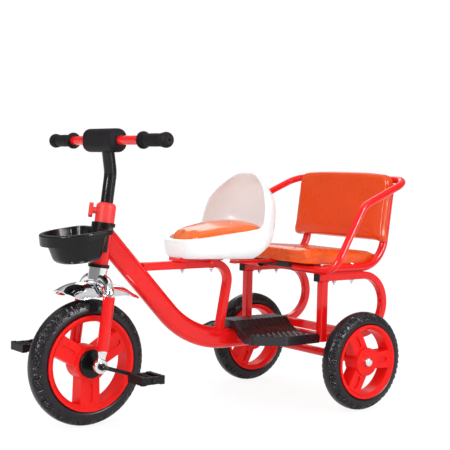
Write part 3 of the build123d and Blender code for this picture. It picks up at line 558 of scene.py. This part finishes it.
def bolt_end(name, place, axis, radius, node):
    """Hexagon nut on a washer, with the bolt's threaded end standing out of it."""
    washer = [(1.25 * radius, 0.0), (1.25 * radius, 0.2 * radius), (0.4 * radius, 0.2 * radius)]
    turned(name + "_washer", washer, place, axis, ZINC, node, 28)
    seat = Vector(place) + 0.2 * radius * Vector(axis)
    nut = [(0.9 * radius, 0.0), (radius, 0.1 * radius), (radius, 0.8 * radius),
           (0.85 * radius, 0.92 * radius)]
    turned(name + "_nut", nut, seat, axis, ZINC, node, 6, smooth=False)
    tip = seat + 0.92 * radius * Vector(axis)
    thread = []
    for k in range(5):
        thread += [(0.5 * radius, 0.16 * radius * k), (0.42 * radius, 0.16 * radius * (k + 0.5))]
    turned(name + "_thread", thread + [(0.3 * radius, 0.9 * radius)], tip, axis, ZINC, node, 20)


HANDS = ((1, "left"), (-1, "right"))
RAIL = 0.020                    # side of the square tube
SUNK = 0.0004                   # a screw's seat below the tube's surface
BOLT_R = 0.0055
SEAT_SCREW_R = 0.0062
BACK_SCREW_R = 0.006
BACK_LEAN = math.radians(7.7)   # of the seat uprights
SEAT_BOLTS = (0.035, 0.098)     # behind the uprights' front end
rail_low, rail_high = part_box("side_frame_left")
tube_low, tube_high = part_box("seat_upright_left")
rail_bottom = rail_high[2] - RAIL
tube_r = (tube_high[1] - tube_low[1]) / 2
tube_y = (tube_high[1] + tube_low[1]) / 2
tube_z = tube_low[2] + tube_r
for side, hand in HANDS:
    for k, back in enumerate(SEAT_BOLTS):
        x = tube_high[0] - back
        bolt_end(f"seat_bolt_{hand}_{k}", (x, side * tube_y, rail_bottom), (0, 0, -1), BOLT_R,
                 "side_frame_left")
        screw(f"seat_screw_{hand}_{k}", (x, side * tube_y, tube_z + tube_r - SUNK), (0, 0, 1),
              SEAT_SCREW_R, "seat_upright_left")
toward_back = Vector((-math.cos(BACK_LEAN), 0, -math.sin(BACK_LEAN)))
for side, hand in HANDS:
    for k, z in enumerate((back_low[2] + 0.035, back_high[2] - 0.055)):
        x = tube_low[0] + tube_r * math.cos(BACK_LEAN) + (tube_high[2] - z) * math.tan(BACK_LEAN)
        spot = Vector((x, side * tube_y, z)) + (tube_r - SUNK) * toward_back
        screw(f"back_screw_{hand}_{k}", spot, toward_back, BACK_SCREW_R, "seat_upright_left")
bracket_low, bracket_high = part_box("front_seat_bracket")
top_tube_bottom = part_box("top_tube")[1][2] - 0.0205
for k, x in enumerate((bracket_low[0] + 0.018, bracket_high[0] - 0.024)):
    bolt_end(f"saddle_bolt_{k}", (x, 0.0, top_tube_bottom), (0, 0, -1), BOLT_R, "top_tube")

FLUTES = 22
FLUTE_STEPS = 6
FLUTE_DEPTH = 0.00045
GRIP_NECK = ((0.0115, 0.0133), (0.0135, 0.0146), (0.03, 0.0149), (0.05, 0.0150), (0.068, 0.0147),
             (0.077, 0.0133))   # distance from the grip's inner end, and radius


def ribbed_grip(name, node):
    """Fluted sleeve on the neck of a foam grip."""
    low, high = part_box(node)
    mid = centre(node)
    inner, outer = sorted((low[1], high[1]), key=abs)
    along = np.sign(outer)
    cols = FLUTES * FLUTE_STEPS
    verts = []
    for y, radius in GRIP_NECK:
        for k in range(cols):
            a = 2 * math.pi * k / cols
            r = radius - FLUTE_DEPTH * (1 - abs(math.cos(FLUTES / 2 * a)))
            verts.append((mid.x + r * math.cos(a), inner + along * y, mid.z + r * math.sin(a)))
    piece(name, verts, grid_faces(len(GRIP_NECK), cols, close_cols=True), GRIP, node)


ribbed_grip("grip_ribs_left", "grip_left")
ribbed_grip("grip_ribs_right", "grip_right")

deck_low, deck_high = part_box("footboard")
DECK_TOP = 0.190                # the footboard's flat sides, under its tunnel and curb
DECK_CUT = (0.067, 0.05)        # the flat side's cut-off front corner: length and width
DECK_SIDE = 0.142               # outermost y of a lozenge's middle
LOZENGE = (0.0062, 0.0026, 0.0015)      # half length, half width, height
LOZENGE_TOP = 0.72              # share of the foot
LOZENGE_PITCH = (0.017, 0.0135)
LOZENGE_START = (0.022, 0.084)  # x from the board's rear edge, and y
LOZENGE_EDGE = 0.014            # left free at the front edge


def tread_marks(side):
    """Raised non-slip lozenges in staggered rows on one flat side of the footboard."""
    verts, faces = [], []
    half_l, half_w, tall = LOZENGE
    cut_l, cut_w = DECK_CUT
    for row in range(5):
        for col in range(9):
            stagger = LOZENGE_PITCH[0] / 2 if row % 2 else 0.0
            x = deck_low[0] + LOZENGE_START[0] + LOZENGE_PITCH[0] * col + stagger
            y = LOZENGE_START[1] + LOZENGE_PITCH[1] * row
            past_cut = (x - deck_high[0] + cut_l) / cut_l * cut_w > DECK_SIDE - y
            if x > deck_high[0] - LOZENGE_EDGE or past_cut:
                continue
            first = len(verts)
            for height, share in ((0.0, 1.0), (tall, LOZENGE_TOP)):
                for dx, dy in ((half_l, 0), (0, half_w), (-half_l, 0), (0, -half_w)):
                    verts.append((x + share * dx, side * (y + share * dy), DECK_TOP + height))
            faces.append(tuple(first + i for i in (4, 5, 6, 7)))
            for i in range(4):
                after = (i + 1) % 4
                faces.append((first + i, first + after, first + 4 + after, first + 4 + i))
    return verts, faces


for side, hand in HANDS:
    piece(f"footboard_tread_{hand}", *tread_marks(side), DECK, "footboard", smooth=False)

BEAD_SIDES = 8
BEAD_STEP = 0.0012


def weld(name, corners, radius, node):
    """Rippled weld bead along a closed ring of corners."""
    ring = []
    for k, corner in enumerate(corners):
        there = Vector(corners[(k + 1) % len(corners)])
        here = Vector(corner)
        steps = max(2, round((there - here).length / BEAD_STEP))
        ring += [here.lerp(there, i / steps) for i in range(steps)]
    middle = sum(ring, Vector()) / len(ring)
    verts = []
    for k, spot in enumerate(ring):
        out = (spot - middle).normalized()
        size = radius * (1.0 + 0.16 * math.sin(k * 1.55) + 0.12 * noise.noise(spot * 400.0))
        for j in range(BEAD_SIDES):
            a = 2 * math.pi * j / BEAD_SIDES
            verts.append(spot + size * (out * math.cos(a) + Vector((0, 0, 1)) * math.sin(a)))
    piece(name, verts, grid_faces(len(ring), BEAD_SIDES, True, True), RED, node)


POST_BACK = 0.0193              # the post's middle behind the rail's front end
POST_HALF = 0.0107              # half the post's side, with the bead's seat
post_x = rail_high[0] - POST_BACK
for side, hand in HANDS:
    mid_y = side * (rail_low[1] + rail_high[1]) / 2
    ring = [(post_x + POST_HALF * dx, mid_y + POST_HALF * dy, rail_bottom)
            for dx, dy in ((1, 1), (-1, 1), (-1, -1), (1, -1))]
    weld(f"post_weld_{hand}", ring, 0.0017, "side_frame_left")


# ------------------------------------------------------------------ stage, light and camera
FLOOR_GLOW = 1.06
CAMERA_SHARE = 0.84             # of the floor's own white that the camera sees; the rest is lit
GLOSS_SHARE = 0.5
FADE_FROM, FADE_TO = 0.9, 2.2   # metres from the middle, over which the floor turns fully white
AIM = (0, 0, 0.4)
WHITE_LIGHT = (1, 1, 1, 1)
SKY_STRENGTH = 0.85
# what gloss sees of the sky: height from 0 to 1 and grey
SKY_BANDS = ((0.1, 0.26), (0.2, 0.34), (0.32, 0.08), (0.5, 0.35), (0.8, 0.75))
SKY_LOW, SKY_HIGH = 0.3, 0.5


def maths(nt, operation, first, second, clamp=False):
    """A Math node on an output and on either another output or a number."""
    node = nt.nodes.new("ShaderNodeMath")
    node.operation = operation
    node.use_clamp = clamp
    nt.links.new(first, node.inputs[0])
    if isinstance(second, float):
        node.inputs[1].default_value = second
    else:
        nt.links.new(second, node.inputs[1])
    return node.outputs[0]


def floor_material():
    """Pale floor that keeps a soft shadow and turns fully white away from the object."""
    mat = bpy.data.materials.new("studio_floor")
    mat.use_nodes = True
    nt = mat.node_tree
    shader = nt.nodes["Principled BSDF"]
    shader.inputs["Base Color"].default_value = (0.9, 0.9, 0.9, 1.0)
    shader.inputs["Roughness"].default_value = 0.9
    shader.inputs["Specular IOR Level"].default_value = 0.1
    glow = nt.nodes.new("ShaderNodeEmission")
    glow.inputs["Strength"].default_value = FLOOR_GLOW
    path = nt.nodes.new("ShaderNodeLightPath")
    seen = maths(nt, "MULTIPLY", path.outputs["Is Camera Ray"], CAMERA_SHARE)
    for ray in ("Is Glossy Ray", "Is Transmission Ray"):
        seen = maths(nt, "ADD", seen, maths(nt, "MULTIPLY", path.outputs[ray], GLOSS_SHARE), clamp=True)
    distance = nt.nodes.new("ShaderNodeVectorMath")
    distance.operation = "LENGTH"
    nt.links.new(places(nt), distance.inputs[0])
    far = remap(nt, distance.outputs["Value"], 0.0, 1.0, FADE_FROM, FADE_TO)
    seen_far = maths(nt, "MULTIPLY", far, path.outputs["Is Camera Ray"])
    mix = nt.nodes.new("ShaderNodeMixShader")
    nt.links.new(maths(nt, "MAXIMUM", seen_far, seen), mix.inputs[0])
    nt.links.new(shader.outputs[0], mix.inputs[1])
    nt.links.new(glow.outputs[0], mix.inputs[2])
    nt.links.new(mix.outputs[0], nt.nodes["Material Output"].inputs[0])
    return mat


bm = bmesh.new()
bmesh.ops.create_grid(bm, x_segments=1, y_segments=1, size=30.0)
floor_mesh = bpy.data.meshes.new("floor")
bm.to_mesh(floor_mesh)
bm.free()
floor_mesh.materials.append(floor_material())
floor = bpy.data.objects.new("floor", floor_mesh)
floor.location = (0, 0, -0.0005)
scene.collection.objects.link(floor)

world = bpy.data.worlds.new("studio")
scene.world = world
world.use_nodes = True
wt = world.node_tree
lit = wt.nodes["Background"]
lit.inputs["Color"].default_value = WHITE_LIGHT
lit.inputs["Strength"].default_value = SKY_STRENGTH


def sky():
    """A white background of strength 1."""
    node = wt.nodes.new("ShaderNodeBackground")
    node.inputs["Color"].default_value = WHITE_LIGHT
    node.inputs["Strength"].default_value = 1.0
    return node


def choose(ray, no, yes):
    """One shader for a kind of ray, and another for all others."""
    path = wt.nodes.new("ShaderNodeLightPath")
    mix = wt.nodes.new("ShaderNodeMixShader")
    wt.links.new(path.outputs[ray], mix.inputs[0])
    wt.links.new(no, mix.inputs[1])
    wt.links.new(yes, mix.inputs[2])
    return mix.outputs[0]


mirror = sky()
rise = wt.nodes.new("ShaderNodeSeparateXYZ")
wt.links.new(wt.nodes.new("ShaderNodeTexCoord").outputs["Generated"], rise.inputs[0])
ramp = wt.nodes.new("ShaderNodeValToRGB")
for end, grey in enumerate((SKY_LOW, SKY_HIGH)):
    ramp.color_ramp.elements[end].position = end
    ramp.color_ramp.elements[end].color = (grey, grey, grey, 1)
for position, grey in SKY_BANDS:
    ramp.color_ramp.elements.new(position).color = (grey, grey, grey, 1)
wt.links.new(rise.outputs["Z"], ramp.inputs[0])
wt.links.new(ramp.outputs["Color"], mirror.inputs["Color"])
glossy = choose("Is Glossy Ray", lit.outputs[0], mirror.outputs[0])
seen = choose("Is Camera Ray", glossy, sky().outputs[0])
wt.links.new(seen, wt.nodes["World Output"].inputs[0])


def lamp(name, place, aim, size, watts):
    """Rectangular lamp at a place, turned to what it aims at."""
    light = bpy.data.lights.new(name, "AREA")
    light.shape = "RECTANGLE"
    light.size, light.size_y = size
    light.energy = watts
    obj = bpy.data.objects.new(name, light)
    obj.location = place
    obj.rotation_euler = (Vector(aim) - Vector(place)).to_track_quat("-Z", "Y").to_euler()
    scene.collection.objects.link(obj)
    return obj


lamp("key_left", (2.6, 1.4, 2.2), AIM, (0.22, 0.7), 25.0)
lamp("key_right", (-0.6, 3.2, 2.0), AIM, (0.13, 1.3), 22.5)
lamp("top", (0.0, 0.0, 3.2), (0, 0, 0), (2.0, 2.0), 12.0)
lamp("rim_light", (-1.5, -2.2, 2.0), AIM, (1.2, 1.6), 12.0)
# bright cards that only gloss shows: the streaks on the tubes
for card in (lamp("card_right", (-0.9, 3.0, 1.5), AIM, (0.5, 1.7), 95.0),
             lamp("card_left", (2.9, 0.7, 1.7), AIM, (0.5, 1.4), 75.0)):
    card.visible_diffuse = False

# the camera fitted to the photograph: place, right and up, and focal length in pixels of its frame
FRAME_PX = 450.0
FOCAL_PX = 1079.9
CAMERA_PLACE = (1.6309, 2.2033, 0.6240)
CAMERA_RIGHT = Vector((-0.7956, 0.6055, 0.0209))
CAMERA_UP = Vector((-0.0176, -0.0577, 0.9982))
camera = bpy.data.cameras.new("camera")
camera.sensor_width = 36.0
camera.lens = FOCAL_PX / FRAME_PX * camera.sensor_width
camera.clip_start, camera.clip_end = 0.1, 100.0
cam = bpy.data.objects.new("camera", camera)
scene.collection.objects.link(cam)
turn = Matrix((CAMERA_RIGHT, CAMERA_UP, CAMERA_RIGHT.cross(CAMERA_UP))).transposed()
cam.matrix_world = Matrix.Translation(CAMERA_PLACE) @ turn.to_4x4()
scene.camera = cam
scene.view_settings.view_transform = "Standard"
